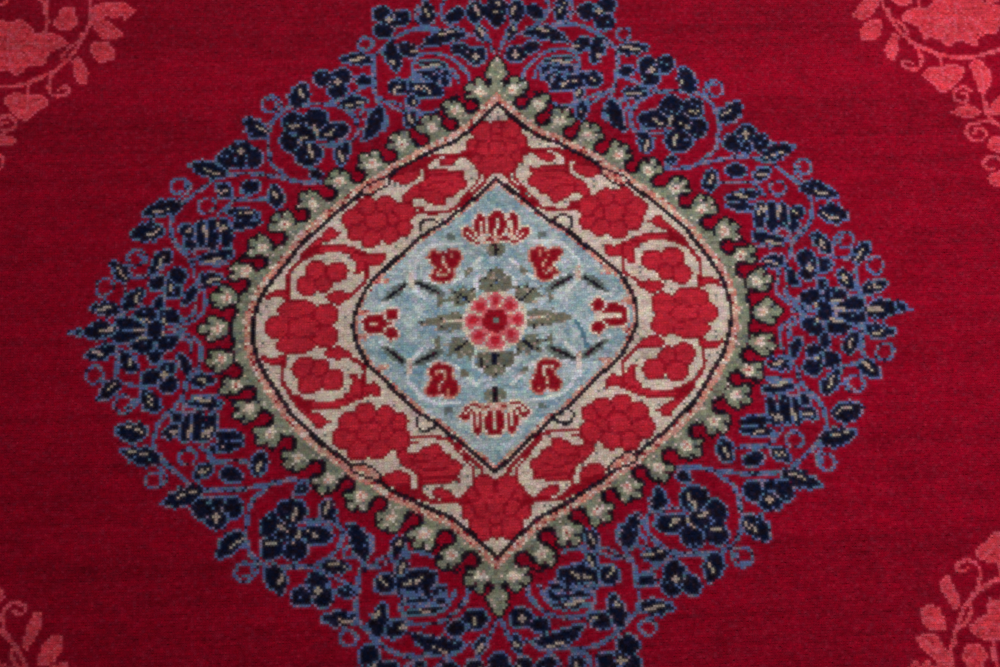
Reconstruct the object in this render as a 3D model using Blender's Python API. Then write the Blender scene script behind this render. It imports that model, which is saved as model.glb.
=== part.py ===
"""A cut length of a hand-knotted medallion carpet, lying flat with its pile up.

Metres, +Z up. +X runs along the rows of knots, +Y along the warps.
The origin is in the middle of the underside, which is one plane.
The cloth is one piece: a cotton foundation and a wool pile that stands on it,
cut off square through both, with the nap rounded over at the cut edges.
"""

import math

import bmesh
import bpy

# Driving dimensions
SPAN = 0.997            # along the rows of knots, before the cut edge wavers
LENGTH = 0.797          # along the warps, before the cut edge wavers
FOUNDATION = 0.0025     # warps, wefts and the backs of the knots
PILE = 0.0055           # clipped wool above the foundation

# The weave is slightly out of true, so each cut edge follows a slow wave
WARP_SWAY = 0.0015      # how far the warps wander along X
WARP_SWAY_PITCH = 0.52  # length of one wander along Y
WEFT_BOW = 0.0015       # how far the rows wander along Y
WEFT_BOW_PITCH = 0.66   # length of one wander along X
EDGE_STEP = 0.025       # spacing of the outline's points

NAP_ROUNDING = 0.0022   # rounding of the pile at the cut edges
NAP_SEGMENTS = 3

WOOL_RED = (0.160, 0.006, 0.022, 1.0)
WOOL_ROUGHNESS = 0.92

WELD_DISTANCE = 0.00001


def clear_scene():
    for item in list(bpy.data.objects):
        bpy.data.objects.remove(item, do_unlink=True)


def new_collection(name):
    group = bpy.data.collections.new(name)
    bpy.context.scene.collection.children.link(group)
    return group


def wool_material():
    material = bpy.data.materials.new("wool_pile")
    material.use_nodes = True
    shader = material.node_tree.nodes["Principled BSDF"]
    shader.inputs["Base Color"].default_value = WOOL_RED
    shader.inputs["Roughness"].default_value = WOOL_ROUGHNESS
    shader.inputs["Metallic"].default_value = 0.0
    material.diffuse_color = WOOL_RED
    return material


def woven_place(x, y):
    """Where a point of the squared-up weave lies once the weave has wandered."""
    sway = WARP_SWAY * math.sin(2 * math.pi * y / WARP_SWAY_PITCH)
    bow = WEFT_BOW * math.sin(2 * math.pi * x / WEFT_BOW_PITCH)
    return x + sway, y + bow


def cut_outline():
    """Points round the cut edge, anticlockwise from the near left corner."""
    corners = [
        (-SPAN / 2, -LENGTH / 2),
        (SPAN / 2, -LENGTH / 2),
        (SPAN / 2, LENGTH / 2),
        (-SPAN / 2, LENGTH / 2),
    ]
    points = []
    for start, end in zip(corners, corners[1:] + corners[:1]):
        steps = round(math.dist(start, end) / EDGE_STEP)
        for step in range(steps):
            share = step / steps
            x = start[0] + share * (end[0] - start[0])
            y = start[1] + share * (end[1] - start[1])
            points.append(woven_place(x, y))
    return points


def outline_slab(points, thickness):
    """A mesh of the given thickness, standing on z = 0, from a filled flat curve."""
    curve = bpy.data.curves.new("cut_outline", "CURVE")
    curve.dimensions = "2D"
    curve.fill_mode = "BOTH"
    curve.extrude = thickness / 2
    spline = curve.splines.new("POLY")
    spline.points.add(len(points) - 1)
    for point, (x, y) in zip(spline.points, points):
        point.co = (x, y, 0.0, 1.0)
    spline.use_cyclic_u = True

    holder = bpy.data.objects.new("cut_outline", curve)
    bpy.context.scene.collection.objects.link(holder)
    bpy.context.view_layer.update()
    evaluated = holder.evaluated_get(bpy.context.evaluated_depsgraph_get())
    mesh = bpy.data.meshes.new_from_object(evaluated)
    bpy.data.objects.remove(holder, do_unlink=True)
    bpy.data.curves.remove(curve)

    shape = bmesh.new()
    shape.from_mesh(mesh)
    bmesh.ops.remove_doubles(shape, verts=shape.verts, dist=WELD_DISTANCE)
    bmesh.ops.translate(shape, verts=shape.verts, vec=(0.0, 0.0, thickness / 2))
    bmesh.ops.recalc_face_normals(shape, faces=shape.faces)
    shape.to_mesh(mesh)
    shape.free()
    return mesh


def round_top_rim(mesh, height):
    """Round only the upper rim, where the nap leans over the cut edge."""
    shape = bmesh.new()
    shape.from_mesh(mesh)
    rim = []
    for edge in shape.edges:
        on_top = all(abs(corner.co.z - height) < WELD_DISTANCE for corner in edge.verts)
        upright = [face for face in edge.link_faces if abs(face.normal.z) < 0.5]
        if on_top and len(upright) == 1:
            rim.append(edge)
    bmesh.ops.bevel(
        shape,
        geom=rim,
        offset=NAP_ROUNDING,
        segments=NAP_SEGMENTS,
        profile=0.5,
        affect="EDGES",
    )
    shape.to_mesh(mesh)
    shape.free()


def make_rug(group):
    height = FOUNDATION + PILE
    mesh = outline_slab(cut_outline(), height)
    round_top_rim(mesh, height)
    mesh.name = "rug"
    mesh.shade_smooth()
    mesh.set_sharp_from_angle(angle=math.radians(40))
    mesh.materials.append(wool_material())
    rug = bpy.data.objects.new("rug", mesh)
    group.objects.link(rug)
    return rug


clear_scene()
make_rug(new_collection("persian_rug"))
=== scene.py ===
"""A cut length of a hand-knotted medallion carpet, modelled knot by knot.

The weave is charted first: every knot gets its yarn from shapes drawn in the
millimetres of one quarter of the design, and the quarters mirror each other.
The cloth is then built from that chart, with one tuft to a knot on the face,
the knots' backs below, and the cut foundation showing round the edge.
"""

import math

import bpy
import numpy as np
from mathutils import Euler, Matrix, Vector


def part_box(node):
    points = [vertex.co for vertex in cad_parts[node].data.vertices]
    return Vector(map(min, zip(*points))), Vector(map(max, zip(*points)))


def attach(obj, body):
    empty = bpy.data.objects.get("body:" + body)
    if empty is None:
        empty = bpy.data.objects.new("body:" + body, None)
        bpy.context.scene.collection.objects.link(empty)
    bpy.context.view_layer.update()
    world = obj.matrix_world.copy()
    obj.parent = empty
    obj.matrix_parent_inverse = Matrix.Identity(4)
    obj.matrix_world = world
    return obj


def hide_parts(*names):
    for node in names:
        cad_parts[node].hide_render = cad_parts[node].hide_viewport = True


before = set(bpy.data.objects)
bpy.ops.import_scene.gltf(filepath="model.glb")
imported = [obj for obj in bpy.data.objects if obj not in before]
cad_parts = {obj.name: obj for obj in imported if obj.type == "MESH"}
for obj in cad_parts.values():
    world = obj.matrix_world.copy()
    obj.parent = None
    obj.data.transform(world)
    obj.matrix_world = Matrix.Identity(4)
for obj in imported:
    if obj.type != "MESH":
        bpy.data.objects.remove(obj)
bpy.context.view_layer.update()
rug_low, rug_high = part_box("rug")
random = np.random.default_rng(11)

# --- Sizes, in metres -------------------------------------------------------

WANDER = 0.0015          # how far each cut edge wavers, as the solid's does
WARP_PITCH = 0.52        # length of one wander along Y
WEFT_PITCH = 0.66        # length of one wander along X
SPAN = rug_high.x - rug_low.x - 2 * WANDER
LENGTH = rug_high.y - rug_low.y - 2 * WANDER
THICKNESS = rug_high.z
FOUNDATION = 0.0025      # warps, wefts and knot backs
KNOT_WIDTH = 0.00245     # along a row
KNOT_HEIGHT = 0.002365   # from row to row
COLUMNS = round(SPAN / KNOT_WIDTH)
ROWS = round(LENGTH / KNOT_HEIGHT)
TILES_ACROSS = 4         # the cloth is split along knot lines into pieces
TILES_UP = 2

MM = 1000.0              # the chart is drawn in millimetres

# --- The knot chart ---------------------------------------------------------

LEAN = 0.038             # the design leans right as it rises
# The yarns, in sRGB out of 255
YARNS = dict(
    crimson=(130, 0, 25), black=(12, 8, 17), navy=(2, 14, 38), blue=(74, 94, 136),
    sky=(145, 161, 165), cream=(191, 171, 158), red=(171, 31, 45), deep=(132, 8, 24),
    sage=(123, 125, 106), peach=(190, 138, 124), coral=(198, 52, 64), olive=(104, 101, 84),
    pink=(192, 88, 96), grey=(94, 102, 98), pale=(206, 190, 176), mauve=(122, 108, 132),
    salmon=(184, 104, 92), rose=(199, 72, 87), plum=(66, 8, 34), teal=(70, 104, 126),
    seam=(138, 12, 30), mist=(198, 199, 201), straw=(158, 140, 128), lake=(98, 136, 156),
)
(CRIMSON, BLACK, NAVY, BLUE, SKY, CREAM, RED, DEEP, SAGE, PEACH, CORAL, OLIVE, PINK, GREY, PALE, MAUVE,
 SALMON, ROSE, PLUM, TEAL, SEAM, MIST, STRAW, LAKE) = range(len(YARNS))
# Odd knots of other yarns among those of one: the yarn, then each other one with its share
ODD_KNOTS = {
    NAVY: [(BLACK, 0.35), (BLUE, 0.02), (TEAL, 0.01)],
    BLUE: [(MAUVE, 0.2), (TEAL, 0.16), (NAVY, 0.08), (PLUM, 0.04)],
    BLACK: [(PLUM, 0.12), (NAVY, 0.12)],
    SAGE: [(OLIVE, 0.1), (GREY, 0.12), (CREAM, 0.08)],
    PEACH: [(PALE, 0.2), (SALMON, 0.2), (DEEP, 0.07)],
    PALE: [(CREAM, 0.25), (PEACH, 0.12)],
    OLIVE: [(BLACK, 0.06), (GREY, 0.15), (STRAW, 0.1)],
    PLUM: [(CRIMSON, 0.25), (BLACK, 0.2)],
    ROSE: [(CORAL, 0.25)],
    CORAL: [(ROSE, 0.08), (RED, 0.14)],
    CREAM: [(PALE, 0.15), (GREY, 0.03)],
}

FULLNESS = 0.6           # below 1, a leaf keeps its width towards its ends
TOOTH_DEPTH = 0.13       # the teeth of a leaf, as a share of its half width
TOOTH_TURN = 0.74        # how fast they follow each other, in radians a millimetre
OPEN_DRAW_IN = 0.12      # how far a curl of about one turn draws in, as a share of its radius
CLOSED_DRAW_IN = 0.5     # and a longer one


def curve(points, closed=False, steps=8):
    """A smooth line through the points."""
    p = points
    if closed:
        p = np.vstack([p[-1], p, p[0], p[1]])
    else:
        p = np.vstack([2 * p[0] - p[1], p, 2 * p[-1] - p[-2]])
    t = np.arange(steps)[:, None] / steps
    pieces = []
    for a, b, c, d in zip(p, p[1:], p[2:], p[3:]):
        square, cubic = 2 * a - 5 * b + 4 * c - d, 3 * b - a - 3 * c + d
        pieces.append(0.5 * (2 * b + (c - a) * t + square * t**2 + cubic * t**3))
    pieces.append(p[1][None] if closed else p[-2][None])
    return np.vstack(pieces)


def grown(mask):
    """The mask and the knots beside, above and below it."""
    m = np.pad(mask, 1)
    return m[1:-1, 1:-1] | m[:-2, 1:-1] | m[2:, 1:-1] | m[1:-1, :-2] | m[1:-1, 2:]


def around(x, y, degrees, reach):
    """The point that far from x, y in that direction."""
    angle = math.radians(degrees)
    return x + reach * math.cos(angle), y + reach * math.sin(angle)


class Chart:
    """The yarn of every knot. Shapes are given in one quarter and fall on all four."""

    def __init__(self, x, y):
        self.x, self.y = x, y
        self.yarn = np.full(x.shape, CRIMSON)

    def distance(self, points, smooth=True, reach=20.0):
        """How far each knot is from the line through the points, up to reach."""
        points = np.reshape(points, (-1, 2)).astype(float)
        route = curve(points) if smooth and len(points) > 2 else points
        low, high = route.min(0) - reach, route.max(0) + reach
        near = (self.x > low[0]) & (self.x < high[0]) & (self.y > low[1]) & (self.y < high[1])
        x, y = self.x[near], self.y[near]
        best = np.full(x.shape, reach)
        for (ax, ay), (bx, by) in zip(route, route[1:]):
            dx, dy = bx - ax, by - ay
            along = np.clip(((x - ax) * dx + (y - ay) * dy) / max(dx * dx + dy * dy, 1e-9), 0, 1)
            best = np.minimum(best, np.hypot(x - ax - along * dx, y - ay - along * dy))
        out = np.full(self.x.shape, reach)
        out[near] = best
        return out

    def line(self, points, width, smooth=True):
        """The knots on a line through the points."""
        return self.distance(points, smooth, reach=width) < width / 2

    def inside(self, points, smooth=True):
        """The knots inside the outline through the points."""
        points = np.reshape(points, (-1, 2)).astype(float)
        route = curve(points, closed=True) if smooth else np.vstack([points, points[0]])
        odd = np.zeros(self.x.shape, bool)
        for (ax, ay), (bx, by) in zip(route, route[1:]):
            if ay != by:
                crosses = (ay > self.y) != (by > self.y)
                odd ^= crosses & (self.x < ax + (self.y - ay) * (bx - ax) / (by - ay))
        return odd

    def disc(self, x, y, radius):
        return np.hypot(self.x - x, self.y - y) < radius

    def depth(self, x, y, half_length, half_width, tilt=0):
        """Roughly how far inside an oval each knot is."""
        c, s = math.cos(math.radians(tilt)), math.sin(math.radians(tilt))
        along, across = (self.x - x) * c + (self.y - y) * s, (self.y - y) * c - (self.x - x) * s
        return (1 - np.hypot(along / half_length, across / half_width)) * half_width

    def oval(self, *measures):
        return self.depth(*measures) > 0

    def leaf(self, ax, ay, bx, by, width, bow=0.0, belly=0.42):
        """A pointed leaf from base to tip: toothed, bowed sideways, widest at the share belly."""
        length = math.hypot(bx - ax, by - ay)
        ux, uy = (bx - ax) / length, (by - ay) / length
        along = ((self.x - ax) * ux + (self.y - ay) * uy) / length
        share = np.clip(along, 0, 1)
        across = (self.y - ay) * ux - (self.x - ax) * uy - 4 * bow * share * (1 - share)
        half = width / 2 * np.sin(math.pi * share ** (math.log(0.5) / math.log(belly))) ** FULLNESS
        teeth = 1 + TOOTH_DEPTH * np.sin(TOOTH_TURN * share * length)
        return (along > 0) & (along < 1) & (abs(across) < half * teeth)

    def paint(self, mask, yarn):
        self.yarn[mask] = yarn

    def stroke(self, points, width, yarn, smooth=True):
        self.yarn[self.line(points, width, smooth)] = yarn

    def outlined(self, mask, fill, rim):
        """The shape in one yarn, inside a line one knot wide in another."""
        self.yarn[grown(mask)] = rim
        self.yarn[mask] = fill

    def bordered(self, mask, fill, rim):
        """The shape with its own outermost knots in another yarn."""
        self.yarn[mask] = rim
        self.yarn[~grown(~mask)] = fill

    def red_shape(self, outline):
        """A red shape with a deep rim, whose outline turns sharply where its points do."""
        self.bordered(self.inside(outline, smooth=False), RED, DEEP)

    def petals(self, ovals, fill, rim, seam, seam_width=1.3, swell=0.0):
        """Overlapping ovals, all a swell larger, with a rim round them and a seam between each two."""
        depth = np.sort(np.stack([self.depth(*measures) for measures in ovals]), axis=0) + swell
        body = depth[-1] > 0
        self.bordered(body, fill, rim)
        if len(ovals) > 1:
            self.yarn[body & (depth[-2] > 0) & (depth[-1] - depth[-2] < seam_width)] = seam

    def bloom(self, lobes):
        """A red flower of round petals: x, y and radius of each."""
        self.petals([(x, y, radius, radius) for x, y, radius in lobes], RED, DEEP, SEAM, 2.4)

    def curl(self, x, y, radius, start, turns, yarn, width=3.0):
        """A tendril round x, y that draws in towards its middle."""
        share = np.linspace(0, 1, 19)
        draw_in = OPEN_DRAW_IN if abs(turns) < 1.1 else CLOSED_DRAW_IN
        angle = math.radians(start) + 2 * math.pi * turns * share
        reach = radius * (1 - draw_in * share)
        points = np.stack([x + reach * np.cos(angle), y + reach * np.sin(angle)], axis=1)
        self.stroke(points, width, yarn, smooth=False)


# The medallion's two main lines, from the upper tip round to the side tip, as x,y, x,y and so on
INNER = (
    -6,140, 0,134, 5,129, 15,120, 26,110, 38,100, 48,91, 58,85, 67,78, 76,69, 86,60, 95,51, 104,43, 111,34,
    117,23, 121,12, 123,0, 121,-12,
)
OUTER = (
    -6,213, 0,207, 6,201, 13,194, 20,187, 28,180, 37,173, 46,169, 56,165, 63,161, 70,157, 79,152, 88,147,
    96,140, 108,133, 118,126, 126,119, 135,112, 144,105, 152,97, 160,89, 169,80, 176,70, 182,61, 188,52,
    194,43, 200,32, 204,20, 206.5,8, 207,0, 206,-12,
)
# Small flowers of the sage band: x, y, and the way they face in degrees
TREFOILS = [
    (14,221, 25), (37,204, 45), (58,187, 55), (84,172, 45), (110,153, 45), (137,137, 60),
    (162,118, 35), (186,97, 45), (205,75, 30), (218,53, 25), (231,28, 15), (236,0, 0),
]
# Crimson bulbs that cut into the band: x, y, then the end of the dark neck
BULBS = [
    (22,208, 34,216), (41,190, 51,204), (67,175, 77,187), (95,160, 107,172), (122,142, 134,152),
    (147,127, 165,134), (171,106, 184,115), (191,84, 206,91), (207,61, 222,64), (219.5,40, 238,45),
    (228,14, 246,18),
]


def sage_band(c, near_outer, within_outer):
    """The band round the medallion, with its small flowers and the bulbs that cut into it."""
    sage = within_outer | (near_outer < 17)
    for x, y, facing in TREFOILS:
        sage |= c.disc(x, y, 9.2)
        for turn in (-58, 0, 58):
            sage |= c.disc(*around(x, y, facing + turn, 9.5), 4)
    for disc in ((6.5,239, 2.8), (0,249, 2.6), (247,0, 5)):
        sage |= c.disc(*disc)
    sage |= c.leaf(0, 226, 0, 254, 15, belly=0.45)
    holes, bulbs = np.zeros(c.x.shape, bool), np.zeros(c.x.shape, bool)
    for bulb in BULBS:
        holes |= c.disc(*bulb[:2], 8.2) | c.line(bulb, 8)
        bulbs |= c.disc(*bulb[:2], 4.4) | c.line(bulb, 2.4)
    holes |= c.disc(7.5, 230, 4.2)
    c.paint(grown(sage), BLACK)
    c.paint(sage, SAGE)
    c.paint(holes & grown(sage), BLACK)
    c.paint(bulbs, CRIMSON)
    for x, y, facing in TREFOILS:
        for turn in (-29, 29):
            notch = [around(x, y, facing + turn, reach) for reach in (8.5, 13)]
            c.stroke(notch, 2.8, BLACK)
        c.paint(c.disc(x, y, 3.6), PALE)
        for turn in range(0, 360, 72):
            c.paint(c.disc(*around(x, y, facing + turn, 3.6), 1.7), PALE)
        c.paint(c.disc(x, y, 1.8), PEACH)


def medallion(c):
    """The sage band, the cream ring and the sky-blue field, from the outside in."""
    near_outer = c.distance(OUTER)
    within_outer = c.inside(OUTER + (-30,-30, -30,240), smooth=False)
    near_inner = c.distance(INNER)
    within_inner = c.inside(INNER + (-30,-30, -30,200), smooth=False)
    sage_band(c, near_outer, within_outer)
    c.paint((near_outer < 7.5) & ~within_outer, PEACH)
    c.paint(within_outer, CREAM)
    cream_ring(c)
    c.paint(near_outer < 2.0, BLACK)
    c.outlined(c.inside((97,138, 97,133, 103,129, 110,124.5, 116,126, 117,130, 108,134)), PEACH, BLACK)
    c.stroke((103,133, 108,130, 112,128), 2.2, SALMON)
    c.paint(within_inner, SKY)
    c.paint(within_inner & (near_inner < 4.2), PEACH)
    sky_field(c)
    c.paint(near_inner < 1.85, BLACK)
    c.stroke((50,91, 54,95, 60,96.5, 65,94, 67,90, 66,85), 2.6, BLACK)


def cream_ring(c):
    """The red and deep flowers between the two main lines."""
    # strands beside the inner line
    c.stroke((9,139, 12,131, 20,122, 28,114, 36,107, 45,103, 58,102, 72,103), 3.4, DEEP)
    c.stroke((17,140, 18,131, 24,124, 31,115, 38,107), 2.6, DEEP)
    c.stroke((66,107, 76,108), 3, DEEP)
    # upper stem and its leaves
    c.paint(c.inside((
        18,152, 20,172, 26,170, 31,162, 46,161.5, 58,160, 72,154, 84,147, 92,141, 84,143, 70,146, 62,150,
        57,154, 48,158, 34,157)), DEEP)
    c.stroke((63,151, 63,144, 64,136), 3, DEEP)
    c.red_shape((32,157, 42,158.5, 50,156, 54,150, 48,147, 40,149))
    c.red_shape((69,146, 78,145, 88,144, 94,138, 90,133, 80,131, 73,134, 69,139))
    # jagged flower between the top and the diagonal
    c.red_shape((
        29,145, 33,142, 46,145, 62,145, 64,136, 70,132.5, 79,127, 84,118, 84,112, 76,112, 73,116, 67,116,
        60,111, 52,108, 46,109, 46,115, 38,117, 36,122, 30,124, 26,130, 31,136))
    for points in (
        (32,137, 44,139, 62,139), (40,130, 54,132, 66,128), (46,118, 56,124, 70,124),
        (68,131, 70,122, 66,117)):
        c.stroke(points, 1.9, SEAM)
    # top rosette
    c.bloom([
        (12,181, 11), (-12,181, 11), (21,168, 8), (9,147, 11), (-9,147, 11), (18,153, 7), (0,163, 9.5),
        (14,165, 9), (0,183, 8), (0,175, 7)])
    # diagonal rosette
    c.bloom([
        (105,97, 11.5), (98,112, 9.5), (114,112, 10), (125,101, 11), (121,89, 10.5), (109,81, 10),
        (92,84, 10), (82,89, 9), (82,104, 11), (90,98, 8)])
    # scroll round the three-lobed flower
    c.stroke((108,62, 118,66, 126,70, 136,72, 150,72, 160,70, 168,65), 7, DEEP)
    c.stroke((112,64, 120,67, 128,70.5, 138,72, 152,72), 3, RED)
    c.stroke((164,67, 171,62, 176,55, 180,49, 180.5,40, 179,30), 3.6, DEEP)
    c.stroke((112,60, 111.5,48, 112,41, 118,35, 124,30), 3.4, DEEP)
    c.red_shape((
        95,67, 104,65, 114,66, 124,69, 128,64, 123,60, 122,51, 124,46, 117,46, 114,52, 110,55, 101,53, 96,58))
    c.stroke((112,66, 112,50), 2, DEEP)
    c.red_shape((119,33, 126,30.5, 134,32, 143,31, 148,26, 143,21, 135,18, 131,21, 124,26))
    c.red_shape((176,23, 178,30, 184,34, 192,33.5, 197,30, 200,24, 196,25, 191,28, 184,26))
    c.red_shape((131,89, 140,88, 142,93, 148,93, 154,85, 161,79, 169,70, 160,73, 152,78, 143,81, 138,86))
    c.bloom([(138,50, 10.5), (156.5,52, 10.5), (163,37.5, 10.5), (150,39, 9)])
    # side rosette
    c.paint(c.oval(163, 0, 20, 12), SEAM)
    c.petals([
        (171,15.5, 13.5, 8, 0), (171,-15.5, 13.5, 8, 0), (146,10, 9.5, 9, 0), (146,-10, 9.5, 9, 0),
        (165,0, 11, 8, 0), (186,0, 9, 8.5, 0)], RED, DEEP, SEAM, 2.0, swell=1.8)


def sky_field(c):
    """What lies within the inner line."""
    # pale scrolls
    for points in (
        (74,54, 73,46, 74,38, 70,32, 62,24), (74,46, 70,40, 60,38, 50,36), (14,58, 22,50, 32,40, 44,36),
        (10,44, 18,38, 16,28), (74,38, 84,32, 92,22, 100,18), (30,72, 50,72, 62,66, 70,56)):
        c.stroke(points, 3.4, MIST)
    c.stroke((73,45, 73,34), 4.5, PALE)
    # salmon half flowers on the line
    c.paint(c.disc(98, 41, 3.6) | c.disc(93, 40, 2.3), PEACH)
    c.paint(c.disc(113, 12, 3.4) | c.disc(118, 14, 2.2), PEACH)
    # leaves round the rosette
    c.paint(c.inside((-2,27, 10,27, 18,31, 14,35, 17,40, 10,42, 7,48, 0,51, -2,51), smooth=False), OLIVE)
    c.stroke((0,27, 0,38), 3.4, NAVY)
    c.paint(c.inside((
        18,21, 17,28, 20,34, 24,28.5, 28,35, 32,28.5, 42,31, 37,24, 45,20, 36,18, 37,13.5, 29,14,
        22,17), smooth=False), OLIVE)
    c.stroke((22,17, 27,21, 32,26), 2.6, NAVY)
    c.paint(c.inside((
        27,-1, 27,5.5, 33,8.5, 39,9, 37,5.5, 45,8, 53,8, 49,4, 59,4, 67,1, 67,-1), smooth=False), OLIVE)
    c.stroke((28,0, 44,0), 2.4, PALE)
    c.paint(c.oval(0, 66, 10, 6.5), OLIVE)
    c.stroke((0,61, 0,72), 3.6, BLACK)
    # little buds
    c.paint(c.oval(25, 46, 2.8, 4.6, 35), OLIVE)
    c.paint(c.oval(48.5, 19, 2.6, 5.5), OLIVE)
    c.paint(c.oval(40, 79, 4.2, 2.8, 30), GREY)
    # dark paired leaves
    c.paint(c.leaf(44, 25, 71, 40, 9), GREY)
    c.stroke((50,28, 60,33, 68,37), 2.8, BLACK)
    c.paint(c.leaf(76, 38, 98, 21, 9), GREY)
    c.stroke((78,35.5, 86,29.5, 93,24), 2.8, BLACK)
    # rosette
    c.paint(c.disc(0, 0, 28), PALE)
    for turn in (0, 45, 90):
        c.paint(c.disc(*around(0, 0, turn, 18), 8.2), PINK)
    c.paint(c.disc(0, 0, 15), PINK)
    for turn in (0, 45, 90):
        c.paint(c.disc(*around(0, 0, turn, 18.5), 3.9), RED)
    for turn in (22.5, 67.5):
        c.stroke([around(0, 0, turn, reach) for reach in (13, 24)], 2.2, PALE)
    c.paint(c.disc(0, 0, 10.8), DEEP)
    c.paint(c.disc(0, 0, 3), GREY)
    # lotus on the upper axis
    c.outlined(c.inside((11,76, 17,72, 23,75, 27,79, 30,83, 28,87, 21,86, 17,82)), DEEP, PALE)
    for petal in ((14.5,90, 4.8, 11), (0,90, 8.8, 12.8)):
        c.outlined(c.oval(*petal), DEEP, PALE)
    c.paint(c.inside((-9,73, 11,73, 11,79, -9,79), smooth=False), PEACH)
    c.stroke((4,75, 9,77), 2, DEEP)
    c.stroke((0,75, 0,95), 2.8, PALE)
    c.stroke((14,80, 14,93), 2.2, PALE)
    c.stroke((14,76, 20,77, 25,82), 2.2, PALE)
    # lotus on the side axis
    c.outlined(c.oval(102, 3.5, 13, 6.5), DEEP, PALE)
    c.outlined(c.disc(89.5, 9.5, 5.8), DEEP, PALE)
    c.stroke((86,0, 108,0), 2.6, PALE)
    # three-petalled flower
    c.outlined(c.inside((
        31,64, 36,67, 42,66.5, 44.5,62.5, 48,64, 57,66, 57.5,60, 54,53, 50,50.5, 54.5,47, 55,41, 48,37,
        40,37.5, 36,42, 37,48, 34,51, 31,57), smooth=False), DEEP, PEACH)
    c.stroke((39,64, 39,60), 2.2, SALMON)
    c.stroke((46,60, 45.5,55, 42,50, 42,45, 46,43, 50,45, 48,48), 2.2, PEACH)


LEAF_SWELL = 3.6         # the lace's leaves are this much wider than charted
BUD_SWELL = 1.5

# The navy lace round the medallion. Leaves: base x, y, tip x, y, width, bow
LACE_LEAVES = [
    (238,144, 273,157, 15, 1), (203,182, 224,204, 17, -2), (273,118, 310,108, 15, 1),
    (288,94, 318,88, 18, 1), (281,75, 299,51, 13, 1), (316,45, 335,64, 14, 0),
    (321,16, 352,23, 13, 1), (303,39, 319,17, 13, 0), (258,48, 233,46, 13, 0),
    (258,42, 270,21, 9, -2), (232,124, 249,136, 12, 0), (104,209, 119,174, 14, -2),
    (141,212, 115,215, 13, 0), (181,210, 170,238, 16, 0), (98,274, 90,242, 14, -1),
    (111,257, 142,258, 13, 0), (26,278, 70,267, 14, 5), (152,141, 166,150, 9, 0),
    (12,270, 17,290, 8, 0), (132,176, 137,152, 13, 2), (60,289, 64,318, 13, 0),
]
# Buds: x, y, half length, half width, tilt
LACE_BUDS = [
    (194,124, 11, 7, 80), (217,133, 9.5, 6.5, -15), (78,196, 9, 5.8, 75), (80,265, 9.5, 6.8, 30),
    (120,235, 7.5, 5.5, 0),
]
# Flowers: petals as x, y, half length, half width, tilt, then the heart
LACE_FLOWERS = [
    ([(216,161, 10, 9.5, 0), (238,161, 10, 9.5, 0), (227,169, 10, 10, 0), (227,158, 9, 7, 0)],
     (227,169)),
    ([(275,50, 8.5, 8.5, 0), (290,43.5, 9, 7.5, 0), (277,36, 7.5, 7, 0), (281,43, 7, 7, 0)], (279,41)),
    ([(138,240, 9, 8, 70), (155,239, 9.5, 8.5, 40), (143,227, 9, 9, 0), (146,234, 7, 7, 0)], (143,235)),
    ([(18,257, 9.5, 9, 0), (33,264, 8, 6.5, 20)], (18,257)),
    ([(85,299, 9, 8.5, 0), (103,304, 9, 8.5, 30), (101,287, 9, 9, 0), (95,297, 7, 7, 0)], (96,298)),
]
# Larger flowers of the lace, the same way
ROUND_VINE_FLOWER = [
    (145,186, 14, 8.8, -6), (160,198, 11, 10, 60), (180,195, 11.5, 10, 60), (182,177, 11, 9.5, 70),
    (166,165, 12.5, 11.5, 0), (170,184, 12, 9, 0),
]
SIDE_FLOWER = [
    (279,13, 11, 7.5, 25), (299,14, 12, 8, -12), (288,25, 5.5, 7, 0), (290,3, 8, 6, 0),
    (312,5, 14, 8, 10), (312,-5, 14, 8, -10),
]
SIDE_LOTUS = [
    (222,108, 14, 5.5, 10), (221,98, 13, 5, -8), (237,90, 13, 6.5, 80), (247.5,89, 14, 6.5, 88),
    (258,89, 13, 6.5, 95), (267,92, 10, 6.5, 25), (265,81, 7, 6, 60),
]
# Stems, and the thinner vines: the points of a line
LACE_STEMS = [
    (148,139, 160,137.5, 172,138, 184,141, 200,144, 222,146.5, 242,144),
    (184,141, 190,148, 197,153, 201,162, 202,172, 203,182, 201,192, 197,201, 190,208, 180,212.5, 165,214,
     150,213, 140,210, 131,203, 125,195, 123,186, 126,178, 132,172),
    (248,142, 256,135, 264,128, 272,121, 279,113, 283,104, 283,94, 280,84, 275,77, 268,70, 262,60, 261,50),
    (101,186, 98,196, 103,205, 107,214, 110,224, 111,236, 112,248, 111,257, 106,264, 97,273, 88,280, 76,285.5,
     62,287, 48,284, 34,281, 22,277),
]
LACE_VINES = [
    (262,0, 280,0),
    (132,181, 138,175, 146,172.5, 157,174),
    (204,122, 215,121, 232,122, 242,124),
    (232,120, 238,114, 243,107),
    (299,51, 307,49.5, 316,48),
    (321,45, 319,36, 321,26, 320,17),
    (258,47, 258,38, 259,30),
    (252,40, 249,28, 249,18, 254,11, 262,6, 272,3),
    (257,22, 258,14, 264,10, 271,9),
    (50,206, 60,202.5, 74,202, 88,205, 98,211, 105,218),
    (70,205, 82,208, 92,213, 100,214),
    (111,232, 124,226, 136,219, 150,214),
    (28,244, 38,254, 48,259, 60,261, 70,259, 76,250, 76,240),
    (24,230, 25,239, 31,246),
    (34,232, 37,240, 41,246),
    (2,258, 5,266, 8,274, 12,282),
    (45,318, 49,306, 48,296, 40,288, 30,283),
    (70,312, 72,300, 69,292, 62,288),
    (300,13, 312,12, 321,13),
]
# Curls: x, y, radius, start angle, turns
LACE_CURLS = [
    (201,215, 10, 215, -1.4), (279,135, 10, 250, -1.25), (254,116, 7.5, 130, 0.9),
    (311,66, 10, 200, -1.25), (339,40, 8.5, 190, -0.95), (118,273, 7, 210, -0.95),
    (117,201, 6.5, 170, -1.1),
]
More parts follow.
